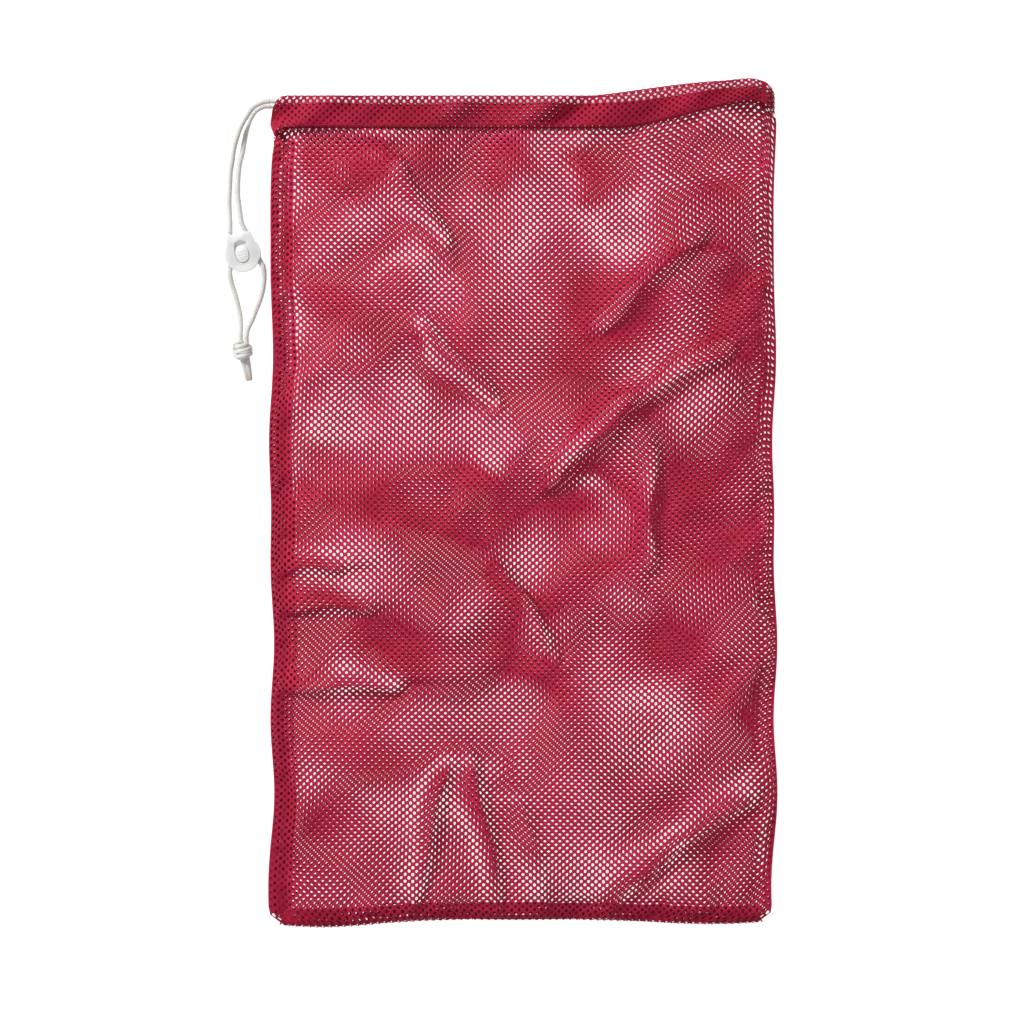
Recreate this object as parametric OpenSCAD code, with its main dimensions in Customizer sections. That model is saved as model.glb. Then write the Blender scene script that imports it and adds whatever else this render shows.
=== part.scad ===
// Mesh laundry bag lying flat, with a drawstring, a knot and a wedge cord lock.
// X runs across the bag, +Y runs towards the mouth and +Z is up from the table.
// The origin is on the table, under the middle of the bag. All sizes in mm.

/* [Bag] */
// Width of the flat bag
bag_w = 381; // [340:1:400]
// Length of the flat bag along its longer, right-hand edge
bag_l = 636; // [610:1:640]
// Height of the bag's top above the table, at the mouth
bag_h = 17.4; // [17:0.1:20]
// Extra height of the front panel in the middle of the bag
crown = 1.6; // [0:0.1:4]
// Angle by which the mouth rises towards the right, in degrees
mouth_slant = 2; // [1:0.5:3]
// Thickness of the mesh fabric
mesh_t = 1.2; // [0.8:0.1:1.3]
// Radius of the two bottom corners
corner_r = 14; // [10:1:20]

/* [Seams] */
// Height of the drawstring channel, from its stitching to its fold
hem_h = 25; // [22:1:30]
// Thickness of the drawstring channel with the cord in it
hem_t = 6; // [6:0.1:6.4]
// Thickness of the channel's wall
hem_wall = 0.7; // [0.5:0.05:0.75]
// Width of the allowance inside the side seam
side_seam_w = 13; // [10:1:16]
// Width of the allowance inside the bottom seam
bottom_seam_w = 9; // [8:1:12]
// Thickness of a seam allowance, which is two layers of mesh
allowance_t = 1.4; // [1:0.1:1.5]
// Diameter of a line of stitches
thread_d = 0.8; // [0.6:0.1:0.9]

/* [Cord] */
// Diameter of the braided drawstring
cord_d = 4.2; // [4:0.1:4.2]
// Diameter across the overhand knot
knot_d = 14; // [13:0.5:15]
// Length of the overhand knot
knot_l = 14; // [12:0.5:14]
// Length of the fused tail past the knot
tail_l = 16; // [10:1:20]

/* [Cord lock] */
// Width of the housing across its top edge
lock_top_w = 19.4; // [19.4:0.1:20]
// Length of the housing from its top edge to the bottom of its round end
lock_l = 29; // [28.6:0.1:29.6]
// Thickness of the housing
lock_t = 8; // [8:0.1:8.6]
// Thickness of the housing's front and back plates
plate_t = 1.7; // [1.5:0.05:1.7]
// Wall outside each cord channel
lock_wall = 1.1; // [1:0.05:1.1]
// Width of the stadium window in the front plate
window_w = 10; // [9.6:0.1:10.4]
// Length of the stadium window
window_l = 17.3; // [17:0.1:17.5]
// How far the wedge slides from released to locked
wedge_travel = 4; // [3:0.1:4]

/* [Hidden] */

$fn = 48;
crimson = [0.70, 0.12, 0.25];
dark_crimson = [0.52, 0.07, 0.18];
thread_red = [0.60, 0.08, 0.20];
cord_white = [0.90, 0.89, 0.86];
lock_white = [0.95, 0.95, 0.94];

// Bag outline; the mouth is a line that rises by mouth_slant to the right
half_w = bag_w / 2;
bottom_y = -bag_l / 2;
mouth_y = bag_l / 2 - half_w * tan(mouth_slant);
mouth_half_w = half_w / cos(mouth_slant);

// Steps across and along the front panel, and the shape of its edges
panel_steps_x = 24;
panel_steps_y = 20;
side_flatness = 7;
side_roundness = 0.8;
foot_share = 0.35;
foot_flatness = 4;
foot_roundness = 0.6;

// Seams: how far an allowance stays inside the bag's outline, and short of a corner
allowance_inset = 4;
allowance_end = 30;
backtack_l = 8;

// Drawstring channel: the lapped, stitched edge, the taper up to full thickness
hem_lap = 1.4;
hem_taper = 9;
hem_closed = 3;
hem_r = hem_t / 2;
stitch_inset = 2;
stitch_gap = 0.05;

// Height of the middle of a seam's thread, on top of the allowance
seam_thread_z = mesh_t + allowance_t + thread_d / 2;

// The channel's turn at the right-hand fold of the bag
fold_r = (bag_h - hem_t) / 2;
fold_z = bag_h / 2;
fold_x = mouth_half_w - fold_r - hem_r - hem_h * sin(mouth_slant);

// Cord inside the channel, measured down from the fold of the mouth
cord_r = cord_d / 2;
front_cord_y = -4.5;
back_cord_y = -6.5;
cord_turn_tilt = atan((front_cord_y - back_cord_y) / (2 * fold_r));
cord_turn_r = fold_r / cos(cord_turn_tilt);
turn_gap = 0.02;

// Cord lock, in its own frame: its middle at the origin, +Y along its axis to the mouth
lock_place = [-212.3, 187, 0];
lock_tilt = 13;
flare = 13;
lock_top_y = lock_l / 2;
lock_r = 13.8;
lock_round_y = lock_r - lock_l / 2;
lock_flank_y = -3.6;
lock_corner_r = 1.2;
cavity_top_y = 10.4;
cavity_bottom_y = -8.6;
cord_clear = 0.15;
channel_w = cord_d + 2 * cord_clear;
cord_top_x = lock_top_w / 2 - (lock_wall + channel_w / 2) / cos(flare);
in_lock_proud = 2;
in_lock_l = (lock_top_y - cavity_bottom_y) / cos(flare) + in_lock_proud;

// Wedge and its thumb pad
wedge_bottom_y = -8.2;
wedge_top_y = 6;
wedge_side_gap = 0.06;
wedge_face_gap = 0.2;
tooth_d = 0.8;
tooth_pitch = 1.6;
window_mid_y = 0.65;
pad_gap = 0.3;
pad_w = window_w - 2 * pad_gap;
pad_l = window_l - wedge_travel - 2 * pad_gap;
pad_rise = 0.6;
ridge_d = 0.8;
ridge_l = 6;
ridge_pitch = 2.2;

// Knot: three wraps round a core, its axis turned by knot_turn
knot_place = [-211, 113, knot_d / 2];
knot_turn = 6;
knot_core_r = 4.2;
knot_wrap_pitch = 3.9;
tail_start = [-210, 106, 5.6];
tail_turn = 10;
tail_drop = 13;
tail_r = 3.6;
tail_tip_r = 1.8;

// Free strands: how far each stays short of the cord in the lock, its straight length
// beside the lock, and the height of a cord's middle when it lies on the table
strand_gap = 0.3;
strand_straight = 6;
on_table = cord_r;

// Free strands: points set by hand down the middle of the cord, between the hem, lock and knot
outer_upper_route = [
    [-196, 299.5, 14], [-203, 296, 12.5], [-208, 290, 10.5], [-212.5, 282.5, 9],
    [-216, 274, 7], [-218.5, 265.5, 5.5], [-220, 256.5, 4], [-221.5, 248, 2.5],
    [-222, 239, on_table], [-222.5, 230.5, on_table], [-222.5, 222, on_table], [-222, 214, 3]
];
inner_upper_route = [
    [-196, 298, 3], [-202.5, 294.5, 2.5], [-207, 287.5, on_table], [-209.5, 279.5, on_table],
    [-211, 271.5, on_table], [-212.5, 263, on_table], [-214.5, 255, on_table],
    [-215.5, 247, on_table], [-216, 239, on_table], [-216, 230.5, on_table],
    [-215, 222.5, 2.5], [-214, 216, 3.5]
];
outer_lower_route = [
    [-220, 162, 2.5], [-217.5, 154, on_table], [-215.5, 145.5, on_table], [-214, 137.5, 3],
    [-213.5, 130, 5], [-213.5, 123.5, 7], [-213.5, 118, 7]
];
inner_lower_route = [
    [-196, 168.5, 2.5], [-197, 160, on_table], [-199, 152, on_table], [-202, 144.5, on_table],
    [-205, 136.5, 3], [-208, 129.5, 5], [-209, 123.5, 7], [-209, 118, 7]
];

// ---------- functions ----------

// Points of an arc about [cx, cy], from angle a0 to a1
function arc(cx, cy, r, a0, a1, n = 8) =
    [for (i = [0 : n]) let(a = a0 + (a1 - a0) * i / n) [cx + r * cos(a), cy + r * sin(a)]];

// Height up the bag of the line where a panel ends and its channel begins
function panel_top(x) = mouth_y - hem_h / cos(mouth_slant) + x * tan(mouth_slant);

// Half width of the bag, narrowed by the round bottom corners, a rise above the bottom
function half_width(rise) =
    rise >= corner_r ? half_w
    : half_w - corner_r + sqrt(corner_r * corner_r - pow(corner_r - rise, 2));

// Fullness of the front panel: 0 at its side edges and its foot, 1 over its middle
function across(u) = pow(1 - pow(abs(2 * u - 1), side_flatness), side_roundness);
function along(v) = pow(1 - pow(1 - min(v / foot_share, 1), foot_flatness), foot_roundness);

// A point in the middle of the front panel's fabric
function panel_point(u, v) =
    let(
        y_left = bottom_y + v * (panel_top(-half_w) - bottom_y),
        y_right = bottom_y + v * (panel_top(half_w) - bottom_y),
        y = y_left + u * (y_right - y_left),
        x = (2 * u - 1) * half_width(y - bottom_y),
        rise = bag_h - 2 * mesh_t + crown * pow(sin(180 * u) * sin(180 * v), 2)
    )
    [x, y, 1.5 * mesh_t + rise * across(u) * along(v)];

// Unit vector along a vector
function unit(a) = a / norm(a);

// Direction of a route at its i-th point
function heading(p, i) = unit(p[min(i + 1, len(p) - 1)] - p[max(i - 1, 0)]);

// Ring of points on the cord's surface, round the i-th point of its route
function ring(p, i, sides) =
    let(t = heading(p, i), s = unit(cross(t, [0, 0, 1])), w = cross(s, t))
    [
        for (k = [0 : sides - 1])
            let(a = 360 * (k + 0.5) / sides)
            p[i] + cord_r * (cos(a) * s + sin(a) * w)
    ];

// Where the cord in a channel leaves the left end of the mouth
function hem_exit(y, z) =
    [
        -mouth_half_w * cos(mouth_slant) - y * sin(mouth_slant),
        mouth_y - mouth_half_w * sin(mouth_slant) + y * cos(mouth_slant),
        z
    ];

// A point down the middle of a cord in the lock, at a distance past the lock's top edge
function lock_point(side, down) =
    let(x = side * (cord_top_x + down * sin(flare)), y = lock_top_y - down * cos(flare))
    lock_place + [
        x * cos(lock_tilt) - y * sin(lock_tilt),
        x * sin(lock_tilt) + y * cos(lock_tilt),
        lock_t / 2
    ];

// The two straight points of a strand above the lock, and the two below it
function into_lock(side) =
    [for (far = [strand_straight, strand_gap]) lock_point(side, -in_lock_proud - far)];
function out_of_lock(side) =
    [for (far = [strand_gap, strand_straight]) lock_point(side, in_lock_l - in_lock_proud + far)];

// Distance of a cord's middle from the lock's axis, at a height in the lock's frame
function channel_x(y) = cord_top_x + (lock_top_y - y) * tan(flare);

// Half width of the wedge in its released place
function wedge_half_w(y) =
    channel_x(y) - cord_r / cos(flare) - wedge_side_gap - wedge_travel * tan(flare);

// ---------- shared shapes ----------

// Closed tube of cord along a route of points
module swept_cord(p, sides = 8) {
    last = len(p) - 1;
    points = [for (i = [0 : last]) each ring(p, i, sides)];
    walls = [
        for (i = [0 : last - 1], k = [0 : sides - 1])
            let(next = (k + 1) % sides)
            [i * sides + k, i * sides + next, (i + 1) * sides + next, (i + 1) * sides + k]
    ];
    start_cap = [for (k = [sides - 1 : -1 : 0]) k];
    end_cap = [for (k = [0 : sides - 1]) last * sides + k];
    polyhedron(points, concat(walls, [start_cap], [end_cap]));
}

// Places children in the frame of the mouth: its origin is the middle of the mouth's fold
module at_mouth() {
    translate([0, mouth_y, 0])
        rotate([0, 0, mouth_slant])
            children();
}

// Turns a channel that lies on the table into the one at the top of the front panel
module as_front() {
    translate([0, 0, bag_h])
        mirror([0, 0, 1])
            children();
}

// Section of the channel: height above the table against distance below the mouth's fold
module hem_section() {
    difference() {
        polygon(concat(
            [[-hem_h, 0], [-hem_h, hem_lap], [-hem_h + hem_taper, hem_t]],
            arc(-hem_r, hem_r, hem_r, 90, -90)
        ));
        polygon(concat(
            [[-hem_h + hem_closed, hem_wall], [-hem_h + hem_taper, hem_t - hem_wall]],
            arc(-hem_r, hem_r, hem_r - hem_wall, 90, -90)
        ));
    }
}

// Straight part of a channel, lying on the table
module hem_straight() {
    translate([-mouth_half_w, 0, 0])
        rotate([90, 0, 90])
            linear_extrude(fold_x + mouth_half_w)
                hem_section();
}

// Straight line of stitches along the foot of a channel, its middle at height z
module hem_stitches(z) {
    translate([-mouth_half_w + stitch_inset, -hem_h + stitch_inset, z])
        rotate([0, 90, 0])
            cylinder(h = mouth_half_w + fold_x - 2 * stitch_inset, d = thread_d);
}

// Straight length of cord in a channel
module cord_in_channel(y, z) {
    translate([-mouth_half_w, y, z])
        rotate([0, 90, 0])
            cylinder(h = fold_x + mouth_half_w - turn_gap, r = cord_r);
}

// Places children in the cord lock's own frame
module at_lock() {
    translate(lock_place)
        rotate([0, 0, lock_tilt])
            children();
}

// A child on both sides of the lock's axis
module on_both_sides() {
    children();
    mirror([1, 0, 0]) children();
}

// Length of cord in one of the lock's channels: side is 1 or -1
module cord_in_lock(side) {
    at_lock()
        translate([side * cord_top_x, lock_top_y, lock_t / 2])
            rotate([90, 0, side * flare])
                translate([0, 0, -in_lock_proud])
                    cylinder(h = in_lock_l, r = cord_r);
}

// Stadium with its length along Y
module stadium(w, l) {
    square([w, l - w], center = true);
    for (side = [-1, 1])
        translate([0, side * (l - w) / 2])
            circle(d = w);
}

// ---------- bag ----------

module back_panel() {
    color(crimson)
        linear_extrude(mesh_t)
            polygon(concat(
                [[-half_w, panel_top(-half_w)]],
                arc(corner_r - half_w, bottom_y + corner_r, corner_r, 180, 270),
                arc(half_w - corner_r, bottom_y + corner_r, corner_r, 270, 360),
                [[half_w, panel_top(half_w)]]
            ));
}

module front_panel() {
    nu = panel_steps_x;
    nv = panel_steps_y;
    // Steps are close together at the edges, where the panel is steep
    middle = [
        for (j = [0 : nv], i = [0 : nu])
            panel_point((1 - cos(180 * i / nu)) / 2, 1 - cos(90 * j / nv))
    ];
    under = [for (p = middle) p - [0, 0, mesh_t / 2]];
    over = [for (p = middle) p + [0, 0, mesh_t / 2]];
    row = nu + 1;
    top = len(middle);
    over_faces = [
        for (j = [0 : nv - 1], i = [0 : nu - 1])
            let(a = top + j * row + i)
            each [[a, a + row, a + row + 1], [a, a + row + 1, a + 1]]
    ];
    under_faces = [
        for (j = [0 : nv - 1], i = [0 : nu - 1])
            let(a = j * row + i)
            each [[a, a + row + 1, a + row], [a, a + 1, a + row + 1]]
    ];
    rim = concat(
        [for (i = [0 : nu]) i],
        [for (j = [1 : nv]) j * row + nu],
        [for (i = [nu - 1 : -1 : 0]) nv * row + i],
        [for (j = [nv - 1 : -1 : 1]) j * row]
    );
    rim_faces = [
        for (k = [0 : len(rim) - 1])
            let(a = rim[k], b = rim[(k + 1) % len(rim)])
            each [[a, top + a, top + b], [a, top + b, b]]
    ];
    color(crimson)
        polyhedron(concat(under, over), concat(over_faces, under_faces, rim_faces));
}

module side_seam_allowance() {
    foot = bottom_y + allowance_end;
    color(dark_crimson)
        translate([allowance_inset - half_w, foot, mesh_t])
            cube([side_seam_w, panel_top(-half_w) - foot - allowance_inset, allowance_t]);
}

module bottom_seam_allowance() {
    color(dark_crimson)
        translate([allowance_end - half_w, bottom_y + allowance_inset, mesh_t])
            cube([bag_w - 2 * allowance_end, bottom_seam_w, allowance_t]);
}

module hem_channel_front() {
    color(dark_crimson)
        at_mouth()
            as_front()
                hem_straight();
}

module hem_channel_back() {
    color(dark_crimson)
        at_mouth()
            hem_straight();
}

module hem_channel_fold() {
    color(dark_crimson)
        at_mouth()
            translate([fold_x, 0, fold_z])
                rotate([-90, 0, 0])
                    rotate_extrude(angle = 180, start = -90)
                        rotate([0, 0, 90])
                            translate([0, -fold_z])
                                hem_section();
}

// ---------- thread ----------

module side_seam_stitching() {
    foot = bottom_y + allowance_end;
    color(thread_red)
        translate([allowance_inset + side_seam_w / 2 - half_w, foot, seam_thread_z])
            rotate([-90, 0, 0])
                cylinder(h = panel_top(-half_w) - foot - allowance_inset, d = thread_d);
}

module bottom_seam_stitching() {
    y = bottom_y + allowance_inset + bottom_seam_w / 2;
    color(thread_red)
        translate([allowance_end - half_w, y, seam_thread_z])
            rotate([0, 90, 0])
                cylinder(h = bag_w - 2 * allowance_end, d = thread_d);
}

module hem_stitching_front() {
    color(thread_red)
        at_mouth()
            hem_stitches(bag_h + thread_d / 2);
}

module hem_stitching_back() {
    // The channel's upper wall rises from the lap to full thickness over hem_taper
    wall_z = hem_lap + (hem_t - hem_lap) * stitch_inset / hem_taper;
    wall_slope = atan((hem_t - hem_lap) / hem_taper);
    color(thread_red)
        at_mouth()
            hem_stitches(wall_z + thread_d / 2 / cos(wall_slope) + stitch_gap);
}

module seam_backtack() {
    x = allowance_inset + side_seam_w / 2 - half_w;
    color(thread_red)
        for (side = [-1, 1])
            translate([x + side * 2 * thread_d, panel_top(-half_w) - backtack_l, seam_thread_z])
                rotate([90, 0, 0])
                    cylinder(h = backtack_l, d = thread_d);
}

// ---------- drawstring ----------

module drawstring_in_hem() {
    color(cord_white)
        at_mouth() {
            cord_in_channel(front_cord_y, bag_h - hem_r);
            cord_in_channel(back_cord_y, hem_r);
            translate([fold_x, (front_cord_y + back_cord_y) / 2, fold_z])
                rotate([-90 - cord_turn_tilt, 0, 0])
                    rotate_extrude(angle = 180, start = -90)
                        translate([cord_turn_r, 0])
                            circle(r = cord_r);
        }
}

module outer_strand_upper() {
    color(cord_white)
        swept_cord(concat(
            [hem_exit(front_cord_y, bag_h - hem_r)], outer_upper_route, into_lock(-1)
        ));
}

module inner_strand_upper() {
    color(cord_white)
        swept_cord(concat(
            [hem_exit(back_cord_y, hem_r)], inner_upper_route, into_lock(1)
        ));
}

module outer_strand_in_lock() {
    color(cord_white)
        cord_in_lock(-1);
}

module inner_strand_in_lock() {
    color(cord_white)
        cord_in_lock(1);
}

module outer_strand_lower() {
    color(cord_white)
        swept_cord(concat(out_of_lock(-1), outer_lower_route));
}

module inner_strand_lower() {
    color(cord_white)
        swept_cord(concat(out_of_lock(1), inner_lower_route));
}

module end_knot() {
    color(cord_white)
        translate(knot_place)
            rotate([90, 0, knot_turn]) {
                cylinder(h = knot_l, r = knot_core_r, center = true);
                for (i = [-1 : 1])
                    translate([0, 0, i * knot_wrap_pitch])
                        rotate_extrude()
                            translate([knot_d / 2 - cord_r, 0])
                                circle(r = cord_r);
            }
}

module cord_tail() {
    color(cord_white)
        translate(tail_start)
            rotate([90 + tail_drop, 0, tail_turn])
                cylinder(h = tail_l, r1 = tail_r, r2 = tail_tip_r);
}

// ---------- cord lock ----------

// Outline of the housing: flared sides down to a round end
module lock_outline() {
    side = lock_top_w / 2;
    flank = side + (lock_top_y - lock_flank_y) * tan(flare);
    corner_x = side - lock_corner_r;
    corner_y = lock_top_y - lock_corner_r;
    polygon(concat(
        [[-flank, lock_flank_y], [flank, lock_flank_y]],
        arc(corner_x, corner_y, lock_corner_r, flare, 90),
        arc(-corner_x, corner_y, lock_corner_r, 90, 180 - flare)
    ));
    translate([0, lock_round_y])
        circle(r = lock_r);
}

// Hollow of the housing: two cord channels and the space for the wedge between them
module lock_hollow() {
    on_both_sides()
        translate([cord_top_x, lock_top_y])
            rotate(flare)
                translate([-channel_w / 2, -2 * lock_l])
                    square([channel_w, 3 * lock_l]);
    polygon([
        [-channel_x(cavity_top_y), cavity_top_y],
        [-channel_x(cavity_bottom_y), cavity_bottom_y],
        [channel_x(cavity_bottom_y), cavity_bottom_y],
        [channel_x(cavity_top_y), cavity_top_y]
    ]);
}

module lock_housing() {
    color(lock_white)
        at_lock()
            difference() {
                linear_extrude(lock_t)
                    lock_outline();
                translate([0, 0, plate_t])
                    linear_extrude(lock_t - 2 * plate_t)
                        lock_hollow();
                translate([0, window_mid_y, lock_t / 2])
                    linear_extrude(lock_t)
                        stadium(window_w, window_l);
            }
}

module lock_wedge() {
    foot_z = plate_t + wedge_face_gap;
    body_t = lock_t - 2 * foot_z;
    pad_top_z = lock_t + pad_rise;
    pad_mid_y = window_mid_y - window_l / 2 + pad_gap + pad_l / 2;
    color(lock_white)
        at_lock() {
            difference() {
                translate([0, 0, foot_z])
                    linear_extrude(body_t)
                        polygon([
                            [-wedge_half_w(wedge_bottom_y), wedge_bottom_y],
                            [wedge_half_w(wedge_bottom_y), wedge_bottom_y],
                            [wedge_half_w(wedge_top_y), wedge_top_y],
                            [-wedge_half_w(wedge_top_y), wedge_top_y]
                        ]);
                on_both_sides()
                    for (y = [wedge_bottom_y + tooth_pitch : tooth_pitch : wedge_top_y - tooth_d])
                        translate([wedge_half_w(y), y, 0])
                            cylinder(h = lock_t, d = tooth_d, $fn = 16);
            }
            translate([0, pad_mid_y, foot_z + body_t / 2])
                linear_extrude(pad_top_z - foot_z - body_t / 2)
                    stadium(pad_w, pad_l);
            for (i = [-1 : 1])
                translate([-ridge_l / 2, pad_mid_y + i * ridge_pitch, pad_top_z])
                    rotate([0, 90, 0])
                        cylinder(h = ridge_l, d = ridge_d, $fn = 16);
        }
}

back_panel();
front_panel();
side_seam_allowance();
bottom_seam_allowance();
hem_channel_front();
hem_channel_back();
hem_channel_fold();
side_seam_stitching();
bottom_seam_stitching();
hem_stitching_front();
hem_stitching_back();
seam_backtack();
drawstring_in_hem();
outer_strand_upper();
inner_strand_upper();
outer_strand_in_lock();
inner_strand_in_lock();
outer_strand_lower();
inner_strand_lower();
end_knot();
cord_tail();
lock_housing();
lock_wedge();
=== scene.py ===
import math

import bmesh
import bpy
import numpy as np
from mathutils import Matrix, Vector


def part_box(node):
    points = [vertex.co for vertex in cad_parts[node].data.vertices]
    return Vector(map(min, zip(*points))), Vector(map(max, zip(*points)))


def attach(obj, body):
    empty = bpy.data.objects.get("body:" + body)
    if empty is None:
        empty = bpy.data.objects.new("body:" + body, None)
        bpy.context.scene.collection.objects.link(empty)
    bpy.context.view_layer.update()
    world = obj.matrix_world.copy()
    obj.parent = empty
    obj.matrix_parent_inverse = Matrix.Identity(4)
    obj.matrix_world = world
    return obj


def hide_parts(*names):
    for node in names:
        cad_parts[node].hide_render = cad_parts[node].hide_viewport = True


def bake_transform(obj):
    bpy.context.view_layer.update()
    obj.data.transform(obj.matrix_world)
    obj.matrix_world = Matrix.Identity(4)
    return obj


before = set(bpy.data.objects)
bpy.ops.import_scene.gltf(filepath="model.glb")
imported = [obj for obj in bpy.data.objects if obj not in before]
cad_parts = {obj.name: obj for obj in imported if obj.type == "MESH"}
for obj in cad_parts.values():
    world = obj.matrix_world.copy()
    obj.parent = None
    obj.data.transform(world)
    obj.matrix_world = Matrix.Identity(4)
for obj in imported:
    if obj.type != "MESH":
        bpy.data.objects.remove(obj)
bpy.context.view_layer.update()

MM = 0.001
SCENE = bpy.context.scene
RNG = np.random.default_rng(7)

# The bag's extent on the table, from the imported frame
BAG_LOW, BAG_HIGH = (Vector(corner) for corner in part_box("back_panel"))
MOUTH_HIGH = Vector(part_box("hem_channel_front")[1])
HALF_W = (BAG_HIGH.x - BAG_LOW.x) / 2
FOOT_Y = BAG_LOW.y
BAG_TOP_Z = MOUTH_HIGH.z

# Sizes that several parts share, as in the CAD model
MESH_T = 1.2 * MM
SEAM_W = 13 * MM
BOTTOM_SEAM_W = 9 * MM
SEAM_FADE = 2 * MM
HEM_H = 25 * MM
HEM_T = 6 * MM
HEM_R = HEM_T / 2
CORD_D = 4.2 * MM
CORD_R = CORD_D / 2


# ---------------------------------------------------------------- camera, floor and light

VIEW_CENTRE = (-8.3 * MM, -9.0 * MM)
VIEW_WIDTH = 772 * MM
LENS = 85.0
SENSOR = 36.0
CAMERA_HEIGHT = VIEW_WIDTH * LENS / SENSOR + 10 * MM


def make_camera():
    data = bpy.data.cameras.new("camera")
    data.lens = LENS
    data.sensor_width = SENSOR
    camera = bpy.data.objects.new("camera", data)
    camera.location = (*VIEW_CENTRE, CAMERA_HEIGHT)
    SCENE.collection.objects.link(camera)
    SCENE.camera = camera


def make_floor():
    half = 60.0
    data = bpy.data.meshes.new("floor")
    data.from_pydata(
        [(-half, -half, 0), (half, -half, 0), (half, half, 0), (-half, half, 0)], [], [(0, 1, 2, 3)]
    )
    floor = bpy.data.objects.new("floor", data)
    floor.location = (0, 0, -0.2 * MM)
    SCENE.collection.objects.link(floor)
    material = bpy.data.materials.new("floor_white")
    material.use_nodes = True
    shader = material.node_tree.nodes["Principled BSDF"]
    shader.inputs["Base Color"].default_value = (0.50, 0.50, 0.50, 1)
    shader.inputs["Roughness"].default_value = 0.9
    shader.inputs["Specular IOR Level"].default_value = 0.0
    shader.inputs["Emission Color"].default_value = (1, 1, 1, 1)
    shader.inputs["Emission Strength"].default_value = 0.82
    data.materials.append(material)


def make_light(name, place, target, size, power):
    data = bpy.data.lights.new(name, "AREA")
    data.shape = "DISK"
    data.size = size
    data.energy = power
    light = bpy.data.objects.new(name, data)
    light.location = place
    light.rotation_euler = (Vector(target) - Vector(place)).to_track_quat("-Z", "Y").to_euler()
    SCENE.collection.objects.link(light)


def make_lights():
    make_light("key", (-1.4, 1.25, 1.3), (0, 0, 0), 0.55, 44)
    make_light("fill", (1.2, -1.0, 2.2), (0, 0, 0), 1.6, 11)
    world = bpy.data.worlds.new("studio")
    world.use_nodes = True
    world.node_tree.nodes["Background"].inputs["Color"].default_value = (1, 1, 1, 1)
    world.node_tree.nodes["Background"].inputs["Strength"].default_value = 0.34
    SCENE.world = world


make_camera()
make_floor()
make_lights()
SCENE.view_settings.view_transform = "Standard"
SCENE.view_settings.look = "None"


# ---------------------------------------------------------------- shared mesh helpers


def new_mesh(name, points, faces, material, smooth=True):
    """A mesh object from an array of points and an array or list of faces."""
    data = bpy.data.meshes.new(name)
    data.from_pydata([tuple(p) for p in np.asarray(points).tolist()], [], [tuple(f) for f in faces])
    data.materials.append(material)
    if smooth:
        data.shade_smooth()
    data.update()
    piece = bpy.data.objects.new(name, data)
    SCENE.collection.objects.link(piece)
    return piece


def smooth_step(t):
    t = np.clip(t, 0, 1)
    return t * t * (3 - 2 * t)


class SmoothNoise:
    """A sum of a few plane waves with random directions: soft, repeatable, without hard edges."""

    def __init__(self, wavelength, waves=14):
        turn = RNG.uniform(0, 2 * math.pi, waves)
        size = 2 * math.pi / (wavelength * RNG.uniform(0.7, 1.5, waves))
        self.kx = size * np.cos(turn)
        self.ky = size * np.sin(turn)
        self.phase = RNG.uniform(0, 2 * math.pi, waves)

    def __call__(self, x, y):
        total = np.zeros(np.broadcast(x, y).shape)
        for kx, ky, phase in zip(self.kx, self.ky, self.phase):
            total += np.sin(kx * x + ky * y + phase)
        return total / math.sqrt(len(self.kx) / 2)


# ---------------------------------------------------------------- materials


def new_material(name):
    """A material, its node tree, its shader and the object's own coordinates."""
    material = bpy.data.materials.new(name)
    material.use_nodes = True
    tree = material.node_tree
    place = tree.nodes.new("ShaderNodeTexCoord").outputs["Object"]
    return material, tree, tree.nodes["Principled BSDF"], place


def noise_value(tree, scale, detail, place):
    """Soft noise between 0 and 1."""
    node = tree.nodes.new("ShaderNodeTexNoise")
    node.inputs["Scale"].default_value = scale
    node.inputs["Detail"].default_value = detail
    tree.links.new(place, node.inputs["Vector"])
    return node.outputs["Fac"]


def ramp_colour(tree, value, stops):
    """A colour that changes with a value, through the given (value, colour) stops."""
    node = tree.nodes.new("ShaderNodeValToRGB")
    ramp = node.color_ramp
    while len(ramp.elements) < len(stops):
        ramp.elements.new(0.5)
    for element, (at, colour) in zip(ramp.elements, stops):
        element.position = at
        element.color = (*colour, 1)
    tree.links.new(value, node.inputs["Fac"])
    return node.outputs["Color"]


def position_ramp(tree, place, axis, start, end, top=1.0):
    """0 up to the start along an axis, rising to top at the end."""
    split = tree.nodes.new("ShaderNodeSeparateXYZ")
    tree.links.new(place, split.inputs["Vector"])
    spread = tree.nodes.new("ShaderNodeMapRange")
    spread.inputs["From Min"].default_value = start
    spread.inputs["From Max"].default_value = end
    spread.inputs["To Max"].default_value = top
    tree.links.new(split.outputs[axis], spread.inputs["Value"])
    return spread.outputs["Result"]


def mixed_colour(tree, share, base, colour):
    """The base colour, going over to another one by a share."""
    mix = tree.nodes.new("ShaderNodeMix")
    mix.data_type = "RGBA"
    tree.links.new(share, mix.inputs["Factor"])
    tree.links.new(base, mix.inputs["A"])
    mix.inputs["B"].default_value = (*colour, 1)
    return mix.outputs["Result"]


def fine_surface(tree, texture, rough, strength, distance):
    """Roughness between two values, and fine relief, from one texture."""
    shader = tree.nodes["Principled BSDF"]
    spread = tree.nodes.new("ShaderNodeMapRange")
    spread.inputs["To Min"].default_value = rough[0]
    spread.inputs["To Max"].default_value = rough[1]
    tree.links.new(texture, spread.inputs["Value"])
    tree.links.new(spread.outputs["Result"], shader.inputs["Roughness"])
    bump = tree.nodes.new("ShaderNodeBump")
    bump.inputs["Strength"].default_value = strength
    bump.inputs["Distance"].default_value = distance
    tree.links.new(texture, bump.inputs["Height"])
    tree.links.new(bump.outputs["Normal"], shader.inputs["Normal"])


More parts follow.
